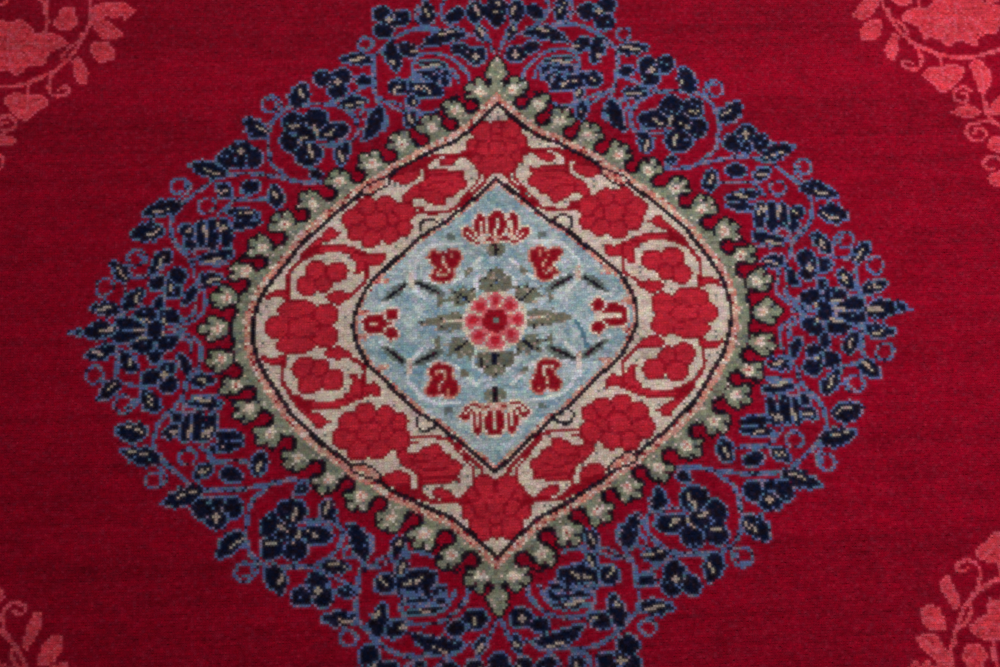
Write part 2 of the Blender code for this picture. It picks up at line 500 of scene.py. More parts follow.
# Straw-coloured veins: a straight one steps aside halfway
LACE_VEINS = [
    (245,146, 252,148, 259,151), (206,187, 212,195), (287,113, 293,111.5, 301,110), (293,94, 298,89, 306,88),
    (287,68, 293,60), (319,47, 323,51, 327,57), (331,20, 343,21), (306,33, 311,27), (240,46, 251,47),
    (237,127, 244,131), (120,213, 127,212, 134,211), (173,220, 173,229), (95,250, 96,258),
    (116,258.5, 132,258), (39,281.5, 50,281.5), (137,157, 137,167), (194,122, 194,129), (78,192, 77,199),
    (72,262, 77,264.5), (327,0, 352,0), (299,0, 314,0), (14,277, 15,284), (62,298, 62,308),
    (143,186, 152,183.5), (160,182, 161,192), (177,191, 184,194), (168,180, 177,178), (163,161, 164,174),
    (283,3, 282,10), (296,6, 303,11), (62,222, 64,229), (70,225, 73,230), (88,229, 92,226, 92,221),
    (53,248, 68,249), (236.5,91, 237,98), (242.5,92, 242,99), (254,88, 254,98), (265,92, 270,94),
    (216,108, 226,109), (239,65.5, 253,64), (0,289, 0,311), (17,297, 17,308), (75,212, 75,218),
]


def hooked(ax, ay, bx, by, jog=1.3):
    """A straight vein that steps aside halfway."""
    length = math.hypot(bx - ax, by - ay)
    sx, sy = -(by - ay) / length * jog, (bx - ax) / length * jog
    mx, my = (ax + bx) / 2, (ay + by) / 2
    return [(ax + sx, ay + sy), (mx + sx, my + sy), (mx - sx, my - sy), (bx - sx, by - sy)]


def lace(c):
    """The navy and blue lace, drawn before the medallion that covers its inner side."""
    def dark(mask):
        c.bordered(mask, NAVY, BLUE)

    for points in LACE_STEMS:
        c.stroke(points, 4.2, BLUE)
    for points in LACE_VINES:
        c.stroke(points, 3.5, BLUE)
    for x, y, radius, start, turns in LACE_CURLS:
        c.curl(x, y, radius, start, turns, BLUE)
    for *ends, width, bow in LACE_LEAVES:
        dark(c.leaf(*ends, width + LEAF_SWELL, bow))
    for x, y, half_length, half_width, tilt in LACE_BUDS:
        dark(c.oval(x, y, half_length + BUD_SWELL, half_width + BUD_SWELL, tilt))
    for petals, (x, y) in LACE_FLOWERS:
        c.petals(petals, NAVY, BLUE, BLUE, swell=1.3)
        for heart in ((x - 3, y, x + 3, y), (x, y - 3, x, y + 3)):
            c.stroke(heart, 2.2, STRAW)
    c.petals(ROUND_VINE_FLOWER, NAVY, BLUE, BLUE, swell=1.3)
    # on the side axis: flower, leaf and lance
    c.petals(SIDE_FLOWER, NAVY, BLUE, BLUE, 2.0, swell=1.1)
    dark(c.leaf(349, 0, 371, 0, 12, belly=0.35))
    dark(c.leaf(322, 0, 358, 0, 21, belly=0.5))
    # lotus by the side
    c.petals(SIDE_LOTUS, NAVY, BLUE, BLUE, 2.0, swell=1.0)
    c.bordered(c.oval(256, 73, 7, 5), CRIMSON, MAUVE)
    dark(c.leaf(227, 71, 264, 66, 13, 0, 0.3))
    c.stroke((233,61, 244,60.5, 255,62), 3.6, BLUE)
    # lotus by the top
    c.bordered(c.leaf(42, 248, 74, 252, 10), BLACK, TEAL)
    dark(c.inside((43,246, 73,246, 74,238, 96,236, 98,226, 93,219, 82,219, 72,216, 50,216, 47,226, 40,230)))
    for petal in ((47,233, 7, 5, 35), (89,228, 10, 9.5, 0), (76,214, 6.5, 8, -20)):
        dark(c.oval(*petal))
    c.paint(c.inside((58,237, 66,240, 78,240, 78,233, 68,233, 60,232)), BLUE)
    for points in ((50,243, 60,244.5, 71,244), (44,237, 52,240, 60,239), (50,228, 54,232)):
        c.stroke(points, 2.2, BLUE)
    # palmette on the upper axis, and the lance that closes the lace
    dark(c.leaf(0, 322, 0, 352, 15, belly=0.4))
    c.petals([(37,299, 11, 8, -42), (19,301, 9, 13, 0), (0,302, 10.5, 19, 0)], NAVY, BLUE, BLUE)
    for points in LACE_VEINS:
        c.stroke(points if len(points) > 4 else hooked(*points), 2.0, STRAW, smooth=False)


# The coral corners: leaves and fans as outlines
CORNER_SHAPES = [
    (335,286, 346,283, 357,285, 364,294, 372,304, 372,311, 352,304, 341,295),
    (345,262, 356,260, 363,263, 367,270, 370,278, 365,283, 351,281, 343,272),
    (381,269, 373,259, 368,250, 370,240, 378,239, 383,249, 386,262),
    (404,223, 410,229, 418,230, 428,231, 437,232, 445,229, 446,223, 441,217, 436,211, 430,207, 424,203,
     418,208, 412,214, 407,218),
    (457,238, 464,236, 470,227, 472,215, 467,208, 463,200, 464,190, 460,190, 459,202, 457,212, 453,222,
     452,231),
    (429,185, 436,190, 446,193, 453,189, 459,184, 450,180, 439,180),
    (463,182, 467,190, 474,198, 483,203, 488,196, 484,188, 474,182),
    (457,150, 462,158, 470,161, 480,158, 486,151, 478,145, 466,143),
    (455,118, 460,124, 468,125, 478,120, 478,112, 468,108, 459,111),
    (322,313, 330,306, 334,303, 338,308, 346,304, 352,310, 358,303, 366,309, 372,313, 366,320, 354,324,
     336,322),
    (382,302, 388,296, 398,294, 404,298, 405,306, 401,312, 400,318, 392,321, 386,318, 387,311, 383,308),
    (336,344, 350,340, 366,342, 374,338, 368,350, 352,358, 340,354),
    (380,344, 390,346, 400,356, 406,372, 398,376, 386,366, 380,356),
    (440,350, 452,352, 464,362, 468,376, 458,378, 446,368, 440,360),
    (474,290, 484,296, 498,302, 500,310, 488,310, 478,302),
    (330,376, 342,372, 356,380, 362,394, 350,398, 336,390),
]
CORNER_PALMETTE = (
    391,283, 398,289, 404,292, 420,292, 426,300, 434,307, 446,304, 456,309, 466,305, 474,296, 486,294,
    501,287, 497,277, 486,271, 482,264, 470,262, 463,257, 462,250, 455,252, 448,256, 441,254, 436,249,
    430,252, 426,258, 418,260, 411,259, 409,266, 408,272, 401,275, 394,279,
)
CORNER_SEAMS = [
    (398,284, 412,280, 428,282), (413,264, 424,270, 436,280), (430,256, 434,268, 441,281),
    (440,256, 444,270, 446,296), (433,302, 438,292, 442,284), (456,256, 455,272, 449,294),
    (474,266, 462,276, 451,288), (346,290, 354,296, 364,305), (350,268, 358,274), (375,246, 378,256, 381,264),
    (412,224, 422,216), (424,228, 425,212), (438,226, 430,214), (461,230, 464,216, 461,204),
    (436,186, 450,187), (466,151, 476,152),
]
CORNER_STEMS = [
    (372,400, 376,372, 372,345, 371,318, 371,300, 376,288, 382,277, 388,268, 394,261, 401,254, 410,249,
     420,244, 432,240, 446,239, 460,240, 471,243, 484,247, 500,250),
    (462,196, 463,184, 466,176, 474,170, 486,164),
    (412,294, 411,305, 414,322, 408,340, 398,360, 386,376),
    (414,322, 428,338, 442,350, 452,372, 470,392),
]
CORNER_VINES = [
    (377,292, 379,284, 388,279, 394,272, 396,266, 390,264),
    (421,244, 424,238, 424,231),
    (402,253, 405,245, 406,236, 402,229, 394,228, 387,232, 386,236, 392,237, 397,234),
    (450,206, 446,209, 439,209, 433,204, 434,198, 441,195, 447,198, 445,203, 440,203),
    (463,175, 453,174, 445,172, 441,165, 445,158, 453,156, 459,161, 457,168, 450,168, 448,163),
    (472,132, 466,139, 458,139, 453,134, 456,128, 463,128),
    (442,350, 462,344, 478,330, 490,318),
    (408,350, 420,360, 428,372, 422,382, 412,380, 412,370),
    (462,344, 464,332, 458,322, 450,324, 450,332),
    (372,330, 360,328, 350,330, 348,336),
]


def corner(c):
    """The coral corner piece."""
    for points in CORNER_STEMS:
        c.stroke(points, 3.8, ROSE)
    for points in CORNER_VINES:
        c.stroke(points, 2.9, ROSE)
    for outline in CORNER_SHAPES + [CORNER_PALMETTE]:
        c.bordered(c.inside(outline, smooth=False), CORAL, ROSE)
    for points in CORNER_SEAMS:
        c.stroke(points, 2.4, ROSE)


def quarter_place(x, y):
    """Where knots of the cloth fall in the quarter of the design, in millimetres.

    The drawing leans, its upright axis bends a little, and no quarter is knotted quite
    like the next: the medallion and the lace are out of square, and each corner strays.
    """
    p, q = (x - LEAN * y) * MM, y * MM
    # the medallion and the lace, out of square
    across, up, within = p / 300, q / 250, np.clip((390 - abs(p)) / 70, 0, 1)
    skew = 3.8 * across * up
    p = p + within * (0.9 - (3 + 5 * up**2) * across + 1.8 * up + skew)
    q = q + within * (0.8 + 1.2 * across + 3.9 * up - 1.6 * up**2 - skew)
    # the near tip stretched along the axis, and the axis bent towards the far end
    q = q + 5 * np.clip(-up, 0, 1) * np.exp(-((p / 70) ** 2))
    rise = np.clip(q, 0, 310) / 256
    p = p - (1.6 + 3.4 * rise**2) * np.clip(1 - abs(p) / 370, 0, None)
    # each corner strays its own way
    right, far, edge = np.sign(p), np.sign(q), np.clip((abs(p) - 330) / 60, 0, 1)
    u = abs(p) + edge * (3 + 2 * far + 3 * right * far)
    v = abs(q) + edge * (1.5 - right + far - 4 * right * far)
    # and the hand of the knotter wavers
    u = u + 0.7 * np.sin(p / 31 + q / 47) + 0.5 * np.sin(q / 19 - p / 53)
    v = v + 0.7 * np.sin(q / 29 - p / 41) + 0.5 * np.sin(p / 23 + q / 61)
    return u, v


def chart_knots(x, y):
    """The yarn of the knots at x, y."""
    chart = Chart(*quarter_place(x, y))
    lace(chart)
    corner(chart)
    medallion(chart)
    # one odd blue streak in the sky-blue field
    blue_spot = chart.line((71,4, 75,12, 78,20, 80,28), 3.6) & (x > 0) & (y < 0)
    chart.paint(blue_spot & (chart.yarn == SKY), TEAL)
    return with_odd_knots(chart.yarn)


def with_odd_knots(yarn):
    """The chart with a share of its knots tied in a neighbouring shade."""
    chance, mixed = random.uniform(0, 1, yarn.shape), yarn.copy()
    for main, others in ODD_KNOTS.items():
        reached = 0.0
        for other, share in others:
            mixed[(yarn == main) & (chance >= reached) & (chance < reached + share)] = other
            reached += share
    return mixed


# --- The cloth --------------------------------------------------------------

CROWN = 0.0007           # a tuft's middle above its edges
UNEVEN = 0.00022         # how much tufts differ in height
NUDGE = 0.00018          # how far tufts stray sideways
NAP = (0.0, -0.00025)    # the pile lies towards the start of the weaving
EDGE_DROP = 0.0016       # the nap rolls down at the cut edge
TUFT_BULGE = 0.0005      # a tuft's side, seen at the cut edge
THREAD_BULGE = 0.00035   # a cut thread's end
BACK_RELIEF = 0.0003     # hollows between the knots' backs

TONE_SPREAD = 0.08       # how much one knot's dye differs from the next
STREAK_SPREAD = 0.06     # faint streaks along the rows
SKY_MOTTLE = 0.4         # how far the sky wool runs pale or deep
BAND_SPREAD = 0.05       # rows knotted from another lot of wool
CLOUD_SPREAD = 0.05      # blotches a few knots across
HUE_SPREAD = 0.08        # how far a knot's hue strays
FIBRE_GLINT = np.array((0.0040, 0.0018, 0.0034))   # painted glints of fibres catching the light, in linear light, on the average knot
MINGLE = 0.75            # how far the wool of neighbouring tufts mixes at their corners
DARK_SHOWS = 0.65        # below 1, the darker wool has more of that mixture
HOLLOW_PAINTED_SHADE = 0.84      # painted shade: the wool's colour is darkened down between the tufts
RIPPLE = 0.00012         # slow unevenness of the clipped pile
THREAD_STRAY = 0.0004    # how far the cut edge's points stray in height
OUTLIER = 2.2            # random values are held to so many times their spread


def woven_place(x, y):
    """Where a point of the squared-up weave lies once the weave has wandered."""
    aside = WANDER * np.sin(2 * math.pi * y / WARP_PITCH)
    up = WANDER * np.sin(2 * math.pi * x / WEFT_PITCH)
    return x + aside, y + up


def linear(colour):
    """sRGB out of 255 as linear light."""
    c = np.asarray(colour, float) / 255
    return np.where(c <= 0.04045, c / 12.92, ((c + 0.055) / 1.055) ** 2.4)


def drifting(shape, keep, axis):
    """Random values that drift along one axis, with a spread of one."""
    values = np.moveaxis(random.normal(0, 1, shape), axis, 0)
    for k in range(1, len(values)):
        values[k] = keep * values[k - 1] + math.sqrt(1 - keep**2) * values[k]
    return np.clip(np.moveaxis(values, 0, axis), -OUTLIER, OUTLIER)


def clouds(shape, reach):
    """Random blotches about so many knots across, with a spread of one."""
    values = random.normal(0, 1, shape)
    for axis in (0, 0, 1, 1):
        mirrored = np.flip(values, axis)
        total = np.cumsum(np.concatenate([mirrored, values, mirrored], axis), axis)
        here = np.arange(shape[axis], 2 * shape[axis])
        high = np.take(total, here + reach // 2, axis)
        values = (high - np.take(total, here - reach // 2 - 1, axis)) / reach
    return values / values.std()


def knot_colours(yarn):
    """Each knot's own colour: its yarn, lighter or darker by chance, with dye lots banding the rows, and
    painted glints of fibres catching the light.
    """
    shape = yarn.shape
    dyes = np.array([linear(c) for c in YARNS.values()])
    wool = dyes[yarn]
    # the sky wool runs paler in some blotches and deeper in others
    mottle = 0.9 * random.normal(0, 1, shape) + 0.7 * clouds(shape, 3) + 0.35 * clouds(shape, 9)
    mist = np.clip(mottle, -2, 2) * SKY_MOTTLE
    for other, share in ((MIST, np.clip(0.7 * mist, 0, 1)), (LAKE, np.clip(-mist, 0, 1))):
        share = np.where(yarn == SKY, share, 0)[:, :, None]
        wool = wool + share * (dyes[other] - wool)
    tone = np.clip(random.normal(0, 1, shape), -OUTLIER, OUTLIER)
    streak = drifting(shape, 0.95, axis=1)
    band = drifting((ROWS, 1), 0.8, axis=0) + drifting((ROWS, 1), 0.95, axis=0)
    factor = 1 + TONE_SPREAD * tone + STREAK_SPREAD * streak + BAND_SPREAD * band
    factor = factor + CLOUD_SPREAD * clouds(shape, 5)
    hue = 1 + HUE_SPREAD * np.clip(random.normal(0, 1, wool.shape), -2, 2)
    # painted glints: pale specks of fibres catching the light, added to the colour
    glint = np.minimum(random.exponential(1, shape), 4)
    return wool * hue * factor[:, :, None] + glint[:, :, None] * FIBRE_GLINT


def corner_colours(colours):
    """The colour at each corner between knots, where the wool of four tufts mingles."""
    padded = np.pad(colours**DARK_SHOWS, ((1, 1), (1, 1), (0, 0)), mode="edge")
    mixed = (padded[1:, 1:] + padded[:-1, 1:] + padded[1:, :-1] + padded[:-1, :-1]) / 4
    return mixed ** (1 / DARK_SHOWS)


def surface_rise(x, y):
    """How far the clipped pile stands above its level at x, y."""
    return RIPPLE * (np.sin(41 * x + 17 * y) + np.sin(23 * x - 37 * y + 1.3))


def squared_place(i, j):
    """Where the point i columns and j rows into the weave lies, before the weave wanders."""
    return (i / COLUMNS - 0.5) * SPAN, (j / ROWS - 0.5) * LENGTH


class Cloth:
    """The points of the whole rug, numbered once, so that its tiles meet exactly."""

    def __init__(self):
        self.points, self.weave, self.count = [], [], 0
        self.lay_points()
        self.lay_walls()
        self.points, self.weave = np.vstack(self.points), np.vstack(self.weave)

    def add(self, x, y, z, u, v):
        """New points, with their place counted in knots; gives back their numbers."""
        x, y, z, u, v = np.broadcast_arrays(x, y, z, u, v)
        numbers = self.count + np.arange(x.size).reshape(x.shape)
        self.points.append(np.stack([x.ravel(), y.ravel(), z.ravel()], 1))
        self.weave.append(np.stack([u.ravel(), v.ravel(), 0 * u.ravel()], 1))
        self.count += x.size
        return numbers

    def lay_points(self):
        """The corners between the knots, on the face and the back, and the crown of each tuft."""
        i, j = np.meshgrid(np.arange(COLUMNS + 1), np.arange(ROWS + 1))
        x, y = squared_place(i, j)
        rim = (i == 0) | (i == COLUMNS) | (j == 0) | (j == ROWS)
        stray = np.where(rim, 0.0, NUDGE)
        wx = x + stray * random.normal(0, 0.6, x.shape)
        wy = y + stray * random.normal(0, 0.6, x.shape)
        wx, wy = woven_place(wx, wy)
        z = THICKNESS - CROWN + surface_rise(x, y) + UNEVEN * random.uniform(-0.5, 0.5, x.shape)
        z = z - np.where(rim, EDGE_DROP - 0.3 * CROWN, 0)
        self.top = self.add(wx, wy, z, i, j)
        z = np.where(rim, 0.2, 1) * BACK_RELIEF * random.uniform(0, 1, x.shape)
        self.bottom = self.add(*woven_place(x, y), z, i, j)
        i, j = np.meshgrid(np.arange(COLUMNS) + 0.5, np.arange(ROWS) + 0.5)
        x, y = squared_place(i, j)
        edge = np.minimum(np.minimum(i, COLUMNS - i), np.minimum(j, ROWS - j)) < 1
        wx = x + NAP[0] + NUDGE * random.normal(0, 0.8, x.shape)
        wy = y + NAP[1] + NUDGE * random.normal(0, 0.8, x.shape)
        wx, wy = woven_place(wx, wy)
        z = THICKNESS + surface_rise(x, y) + UNEVEN * random.normal(0, 1, x.shape)
        z = z - np.where(edge, 0.3 * EDGE_DROP, 0)
        self.crown = self.add(wx, wy, z, i, j)

    def lay_walls(self):
        """The cut edge: tufts above, thread ends below, two columns of points to a knot."""
        ring = [(i, 0) for i in range(COLUMNS)] + [(COLUMNS, j) for j in range(ROWS)]
        ring += [(i, ROWS) for i in range(COLUMNS, 0, -1)] + [(0, j) for j in range(ROWS, 0, -1)]
        out = [(0, -1)] * COLUMNS + [(1, 0)] * ROWS + [(0, 1)] * COLUMNS + [(-1, 0)] * ROWS
        along = [(1, 0)] * COLUMNS + [(0, 1)] * ROWS + [(-1, 0)] * COLUMNS + [(0, -1)] * ROWS
        ring, along, out = np.array(ring), np.array(along), np.array(out)
        steps = len(ring)
        place = np.repeat(ring, 2, 0).astype(float)
        place[1::2] += along / 2
        facing = np.repeat(out, 2, 0).astype(float)
        facing[0::2] = (out + np.roll(out, 1, 0)) / 2
        x, y = squared_place(place[:, 0], place[:, 1])
        middle = np.arange(2 * steps) % 2 == 1
        levels = [
            (THICKNESS - EDGE_DROP * 0.75, TUFT_BULGE * 0.2),
            (THICKNESS * 0.62, TUFT_BULGE),
            (FOUNDATION * 1.06, TUFT_BULGE * 0.5),
            (FOUNDATION * 0.55, THREAD_BULGE),
            (0.0, 0.0),
        ]
        self.wall = np.zeros((2 * steps, len(levels)), int)
        for level, (height, bulge) in enumerate(levels):
            push = np.where(middle, bulge, -0.4 * bulge) * random.uniform(0.6, 1.4, 2 * steps)
            inner_level = 0 < level < len(levels) - 1
            lift = THREAD_STRAY * random.uniform(-1, 1, 2 * steps) if inner_level else np.zeros(2 * steps)
            wx, wy = woven_place(x + facing[:, 0] * push, y + facing[:, 1] * push)
            self.wall[:, level] = self.add(wx, wy, height + lift, place[:, 0], place[:, 1])
        self.wall[0::2, 0] = self.top[ring[:, 1], ring[:, 0]]
        self.wall[0::2, -1] = self.bottom[ring[:, 1], ring[:, 0]]


# Kinds of face: pile, pile at the cut, cut threads, knot backs, between tiles
TOP, SIDE, EDGE, BACK, JOINT = range(5)
# For each kind, its material and how far its wool colour is darkened; on the pile and its cut side this is
# painted shade
SLOTS = np.array([0, 0, 1, 2, 1])
SHADES = np.array([HOLLOW_PAINTED_SHADE, 0.8 * HOLLOW_PAINTED_SHADE, 0.7, 0.86, 0.6])


def wall_column(i, j):
    """Where the cut edge's columns of points pass corner i, j of the weave."""
    if j == 0:
        return 2 * i
    if i == COLUMNS:
        return 2 * (COLUMNS + j)
    if j == ROWS:
        return 2 * (2 * COLUMNS + ROWS - i)
    return 2 * (2 * COLUMNS + 2 * ROWS - j)


def tile_faces(cloth, columns, rows):
    """The faces of the knots in those columns and rows: corner numbers, knot and kind."""
    top, crown, bottom, wall = (a.tolist() for a in (cloth.top, cloth.crown, cloth.bottom, cloth.wall))
    levels = len(wall[0])
    faces = []
    for j in range(*rows):
        for i in range(*columns):
            corners = [(i, j), (i + 1, j), (i + 1, j + 1), (i, j + 1)]
            cut = [j == 0, i == COLUMNS - 1, j == ROWS - 1, i == 0]
            knot, middle, under = j * COLUMNS + i, crown[j][i], []
            for side, (a, b) in enumerate(zip(corners, corners[1:] + corners[:1])):
                rim_a, rim_b = top[a[1]][a[0]], top[b[1]][b[0]]
                under.append(bottom[a[1]][a[0]])
                if not cut[side]:
                    faces.append(((middle, rim_a, rim_b), knot, TOP))
                    continue
                start = wall_column(*a)
                first, half, last = (wall[(start + step) % len(wall)] for step in range(3))
                faces.append(((middle, rim_a, half[0], rim_b), knot, TOP))
                under.append(half[-1])
                for s, t in ((first, half), (half, last)):
                    for level in range(levels - 1):
                        quad = (s[level], s[level + 1], t[level + 1], t[level])
                        faces.append((quad, knot, SIDE if level < 2 else EDGE))
            faces.append((tuple(reversed(under)), knot, BACK))
    return faces + joint_faces(cloth, columns, rows)


def joint_faces(cloth, columns, rows):
    """Where the tile meets its neighbours, inside the cloth."""
    (left, right), (near, far) = columns, rows
    sides = [
        [(i, near) for i in range(left, right + 1)] if near > 0 else [],
        [(right, j) for j in range(near, far + 1)] if right < COLUMNS else [],
        [(i, far) for i in range(right, left - 1, -1)] if far < ROWS else [],
        [(left, j) for j in range(far, near - 1, -1)] if left > 0 else [],
    ]
    faces = []
    for side in sides:
        for a, b in zip(side, side[1:]):
            down, up = upright(cloth, *a), upright(cloth, *b)[::-1]
            knot = min(a[1], ROWS - 1) * COLUMNS + min(a[0], COLUMNS - 1)
            faces.append((tuple(down + up), knot, JOINT))
    return faces


def upright(cloth, i, j):
    """The points from face to back at corner i, j of the weave."""
    if i in (0, COLUMNS) or j in (0, ROWS):
        return [int(n) for n in cloth.wall[wall_column(i, j) % len(cloth.wall)]]
    return [int(cloth.top[j, i]), int(cloth.bottom[j, i])]


def point_normals(cloth, tiles):
    """Smooth normals over the whole rug, so that no line shows where tiles meet."""
    normals = np.zeros_like(cloth.points)
    for faces in tiles:
        by_size = {}
        for corners, _, kind in faces:
            if kind != JOINT:
                by_size.setdefault(len(corners), []).append(corners)
        for size, group in by_size.items():
            group = np.array(group)
            at = cloth.points[group]
            spokes = at - at[:, :1]
            facing = sum(np.cross(spokes[:, k], spokes[:, k + 1]) for k in range(1, size - 1))
            for k in range(size):
                np.add.at(normals, group[:, k], facing)
    return normals / np.linalg.norm(normals, axis=1)[:, None]


def placed(name, data):
    """A new object in the scene."""
    made = bpy.data.objects.new(name, data)
    bpy.context.scene.collection.objects.link(made)
    return made


def build_tile(name, cloth, faces, normals, colours, materials):
    """One tile as an object, with each corner's wool colour, painted shade and painted glints included, and
    its place in the weave.
    """
    sizes = np.array([len(corners) for corners, _, _ in faces])
    flat = np.array([n for corners, _, _ in faces for n in corners])
    kinds = np.array([kind for _, _, kind in faces])
    knots = np.array([knot for _, knot, _ in faces])
    used, local = np.unique(flat, return_inverse=True)
    local = local.tolist()
    ends = np.cumsum(sizes).tolist()
    polygons = [local[end - size:end] for end, size in zip(ends, sizes.tolist())]
    mesh = bpy.data.meshes.new(name)
    mesh.from_pydata(cloth.points[used].tolist(), [], polygons)
    for material in materials:
        mesh.materials.append(material)
    mesh.polygons.foreach_set("material_index", SLOTS[kinds])
    mesh.polygons.foreach_set("use_smooth", np.ones(len(faces), bool))
    # painted shade: full colour at a tuft's middle, darker in the hollows, darker again down the cut side
    shade = SHADES[np.repeat(kinds, sizes)]
    crowns = (flat >= cloth.crown.min()) & (flat <= cloth.crown.max())
    shade[crowns] = 1.0
    wool = colours.reshape(-1, 3)[np.repeat(knots, sizes)]
    between = flat <= cloth.top.max()
    mingled = corner_colours(colours).reshape(-1, 3)[flat[between]]
    wool[between] += MINGLE * (mingled - wool[between])
    wool *= shade[:, None]
    rgba = np.concatenate([wool, np.ones((len(wool), 1))], axis=1)
    # the yarn attribute carries the wool colour with its painted shade and painted glints
    mesh.attributes.new("yarn", "FLOAT_COLOR", "CORNER").data.foreach_set("color", rgba.ravel())
    weave = mesh.attributes.new("weave", "FLOAT_VECTOR", "POINT")
    weave.data.foreach_set("vector", cloth.weave[used].ravel())
    mesh.normals_split_custom_set_from_vertices(normals[used].tolist())
    return placed(name, mesh)


# --- Materials --------------------------------------------------------------


class Nodes:
    """Short hand for building a material's node tree."""

    def __init__(self, name):
        self.material = bpy.data.materials.new(name)
        self.material.use_nodes = True
        self.tree = self.material.node_tree
        self.shader = self.tree.nodes["Principled BSDF"]
        self.place = self.add("ShaderNodeTexCoord").outputs["Object"]

    def knot(self):
        """The wool colour of the knot, with its painted shade and painted glints, and the place in the weave
        along the rows and across them.
        """
        yarn = self.add("ShaderNodeAttribute", attribute_name="yarn").outputs["Color"]
        weave = self.add("ShaderNodeAttribute", attribute_name="weave").outputs["Vector"]
        parts = self.add("ShaderNodeSeparateXYZ", {"Vector": weave}).outputs
        return yarn, parts["X"], parts["Y"]

    def add(self, kind, inputs=None, **settings):
        made = self.tree.nodes.new(kind)
        for key, value in settings.items():
            setattr(made, key, value)
        for key, value in (inputs or {}).items():
            self.set(made.inputs[key], value)
        return made

    def set(self, socket, value):
        if isinstance(value, bpy.types.NodeSocket):
            self.tree.links.new(value, socket)
        else:
            socket.default_value = value

    def noise(self, scale, detail=2.0, roughness=0.5, place=None):
        settings = {"Vector": place or self.place, "Scale": scale, "Detail": detail, "Roughness": roughness}
        return self.add("ShaderNodeTexNoise", settings).outputs["Fac"]

    def stretched(self, scale):
        return self.add("ShaderNodeMapping", {"Vector": self.place, "Scale": scale}).outputs["Vector"]

    def between(self, value, low, high, from_low=0.0, from_high=1.0):
        inputs = {"Value": value, "From Min": from_low, "From Max": from_high, "To Min": low, "To Max": high}
        return self.add("ShaderNodeMapRange", inputs).outputs["Result"]

    def math(self, operation, a, b=0.0):
        return self.add("ShaderNodeMath", {0: a, 1: b}, operation=operation).outputs["Value"]

    def product(self, *values):
        result = values[0]
        for value in values[1:]:
            result = self.math("MULTIPLY", result, value)
        return result

    def wave(self, value, turn):
        """Rises and falls between 0 and 1, once for each half turn."""
        return self.math("ABSOLUTE", self.math("SINE", self.product(value, turn)))

    def scaled(self, colour, factor):
        made = self.add("ShaderNodeVectorMath", {"Vector": colour, "Scale": factor}, operation="SCALE")
        return made.outputs["Vector"]

    def mixed(self, factor, a, b):
        made = self.add("ShaderNodeMix", {"Factor": factor}, data_type="RGBA")
        self.set(made.inputs[6], a)
        self.set(made.inputs[7], b)
        return made.outputs[2]

    def bump(self, height, strength, distance):
        made = self.add("ShaderNodeBump", {"Height": height, "Strength": strength, "Distance": distance})
        self.set(self.shader.inputs["Normal"], made.outputs["Normal"])

    def finish(self, colour, roughness, **constants):
        self.set(self.shader.inputs["Base Color"], colour)
        self.set(self.shader.inputs["Roughness"], roughness)
        for key, value in constants.items():
            self.shader.inputs[key.replace("_", " ")].default_value = value
        return self.material


def wool_pile():
    """Clipped wool: the knot's own dye with fibres, cloudy wear and a soft sheen."""
    n = Nodes("wool_pile")
    yarn, along_row, _ = n.knot()
    fibre = n.noise(1500, 3, 0.65)
    cloud = n.noise(11, 2)
    clump = n.noise(800, 3, 0.7)
    streak = n.noise(1.0, 2, 0.6, n.stretched((14, 330, 1)))
    factor = n.product(n.between(fibre, 0.6, 1.4), n.between(cloud, 0.95, 1.05),
                       n.between(clump, 0.3, 1.7), n.between(streak, 0.9, 1.1))
    legs = n.product(n.wave(along_row, 2 * math.pi), 0.35)
    n.bump(n.math("ADD", legs, n.noise(2600, 3, 0.7)), 0.55, 0.0005)
    return n.finish(n.scaled(yarn, factor), n.between(fibre, 0.78, 1.0), Sheen_Weight=0.02,
                    Sheen_Roughness=0.5, Sheen_Tint=(1.0, 0.7, 0.75, 1.0), Specular_IOR_Level=0.02)


def cut_cotton():
    """Ends of cotton warps and wefts along the cut edge, in two shades of undyed thread."""
    n = Nodes("cut_cotton")
    twist = n.noise(900, 3, 0.6)
    soil = n.noise(60, 3)
    colour = n.mixed(twist, (0.34, 0.27, 0.19, 1), (0.70, 0.62, 0.50, 1))
    n.bump(n.noise(1800, 3, 0.7), 0.6, 0.0004)
    return n.finish(n.scaled(colour, n.between(soil, 0.8, 1.1)), n.between(twist, 0.85, 1.0),
                    Sheen_Weight=0.1, Specular_IOR_Level=0.2)


def knot_backs():
    """The underside: two nodes to a knot in its yarn, with painted shade between the nodes, and a thin line
    of weft between rows.
    """
    n = Nodes("knot_backs")
    yarn, along_row, along_warp = n.knot()
    across, along = n.wave(along_row, 2 * math.pi), n.wave(along_warp, math.pi)
    fibre = n.noise(1700, 3, 0.6)
    node = n.product(n.between(across, 0.55, 1.0), n.between(along, 0.0, 1.0, 0.05, 0.6))
    weft = n.between(along, 1.0, 0.0, 0.08, 0.32)
    # painted shade: the wool darkens between the nodes, where the back dips
    wool = n.scaled(yarn, n.product(n.between(fibre, 0.75, 1.2), n.between(node, 0.6, 1.05)))
    cotton = n.scaled((0.36, 0.27, 0.2), n.between(fibre, 0.6, 1.2))
    colour = n.mixed(weft, wool, cotton)
    n.bump(n.math("ADD", node, n.product(fibre, 0.3)), 0.8, 0.0006)
    return n.finish(colour, n.between(fibre, 0.8, 1.0), Sheen_Weight=0.12, Specular_IOR_Level=0.15)


def floor_paint():
    """Matt, pale and slightly cloudy."""
    n = Nodes("floor")
    colour = n.mixed(n.noise(3, 2), (0.64, 0.63, 0.615, 1), (0.68, 0.67, 0.655, 1))
    return n.finish(colour, n.between(n.noise(8), 0.75, 0.9), Specular_IOR_Level=0.2)


# --- Build ------------------------------------------------------------------

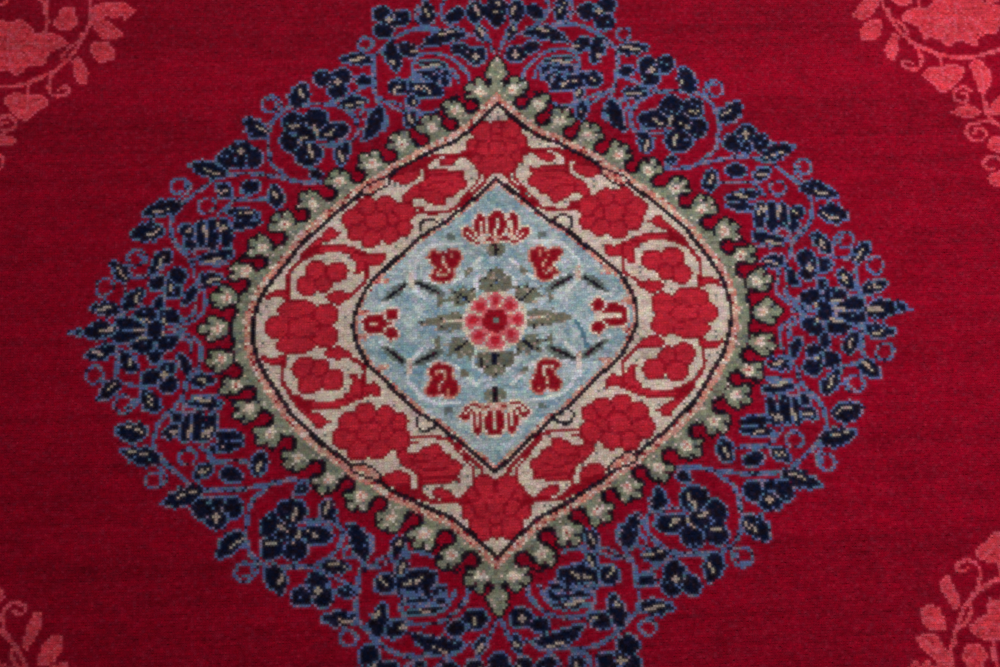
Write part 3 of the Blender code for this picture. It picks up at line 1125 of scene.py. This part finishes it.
FLOOR_REACH = 6.0
KEY_PLACE = (-1.04, 4.18, 2.22)
KEY_AIM = (0.5, 0.72, 0)                   # past the far edge, so that the near side gets less light
KEY_SIZE = 1.8
KEY_SPREAD = 30                            # degrees
KEY_WATTS = 28.0
CAMERA_LENS = 50                           # mm
CAMERA_PLACE = (-0.0500, -0.3416, 1.1619)  # over the top of the pile
CAMERA_TURN = (15.849, -1.991, -2.384)     # degrees
WORLD_COLOUR = (1.0, 0.99, 0.98, 1.0)
WORLD_STRENGTH = 0.25


def splits(count, parts):
    """The first and the end of each of so many nearly equal parts."""
    marks = [round(count * k / parts) for k in range(parts + 1)]
    return list(zip(marks, marks[1:]))


def build_rug():
    """The cloth's tiles, as objects."""
    knots = np.meshgrid(np.arange(COLUMNS) + 0.5, np.arange(ROWS) + 0.5)
    yarn = chart_knots(*squared_place(*knots))
    colours = knot_colours(yarn)
    cloth = Cloth()
    tiles = {}
    for up, rows in enumerate(splits(ROWS, TILES_UP)):
        for across, columns in enumerate(splits(COLUMNS, TILES_ACROSS)):
            name = f"rug_{'near' if up == 0 else 'far'}_{across + 1}"
            tiles[name] = tile_faces(cloth, columns, rows)
    normals = point_normals(cloth, tiles.values())
    materials = [wool_pile(), cut_cotton(), knot_backs()]
    return [build_tile(name, cloth, faces, normals, colours, materials) for name, faces in tiles.items()]


def add_floor():
    """The ground that the rug lies on."""
    mesh, r = bpy.data.meshes.new("floor"), FLOOR_REACH
    mesh.from_pydata([(-r, -r, 0), (r, -r, 0), (r, r, 0), (-r, r, 0)], [], [(0, 1, 2, 3)])
    mesh.materials.append(floor_paint())
    placed("floor", mesh)


def add_light(name, place, aim, size, spread, watts):
    """A square soft box whose grid narrows its beam to the spread, in degrees."""
    data = bpy.data.lights.new(name, "AREA")
    data.shape, data.size, data.spread, data.energy = "SQUARE", size, math.radians(spread), watts
    lamp = placed(name, data)
    lamp.location = place
    heading = np.subtract(aim, place)
    flat = math.hypot(heading[0], heading[1])
    tilt, turn = math.atan2(flat, -heading[2]), math.atan2(-heading[0], heading[1])
    lamp.rotation_euler = Euler((tilt, 0, turn))


def add_camera():
    """Nearly overhead, as in the photograph."""
    data = bpy.data.cameras.new("camera")
    data.lens, data.sensor_width = CAMERA_LENS, 36
    data.clip_start, data.clip_end = 0.01, 50
    camera = placed("camera", data)
    camera.location = CAMERA_PLACE[0], CAMERA_PLACE[1], CAMERA_PLACE[2] + THICKNESS
    camera.rotation_euler = Euler([math.radians(a) for a in CAMERA_TURN])
    bpy.context.scene.camera = camera


def add_world():
    """The fill light, even from all sides."""
    world = bpy.data.worlds.new("studio")
    world.use_nodes = True
    background = world.node_tree.nodes["Background"]
    background.inputs["Color"].default_value = WORLD_COLOUR
    background.inputs["Strength"].default_value = WORLD_STRENGTH
    bpy.context.scene.world = world


rug = build_rug()
for tile in rug:
    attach(tile, "root")
    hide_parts("rug")

add_floor()
add_light("key", KEY_PLACE, KEY_AIM, KEY_SIZE, KEY_SPREAD, KEY_WATTS)
add_camera()
add_world()
bpy.context.scene.view_settings.view_transform = "Standard"
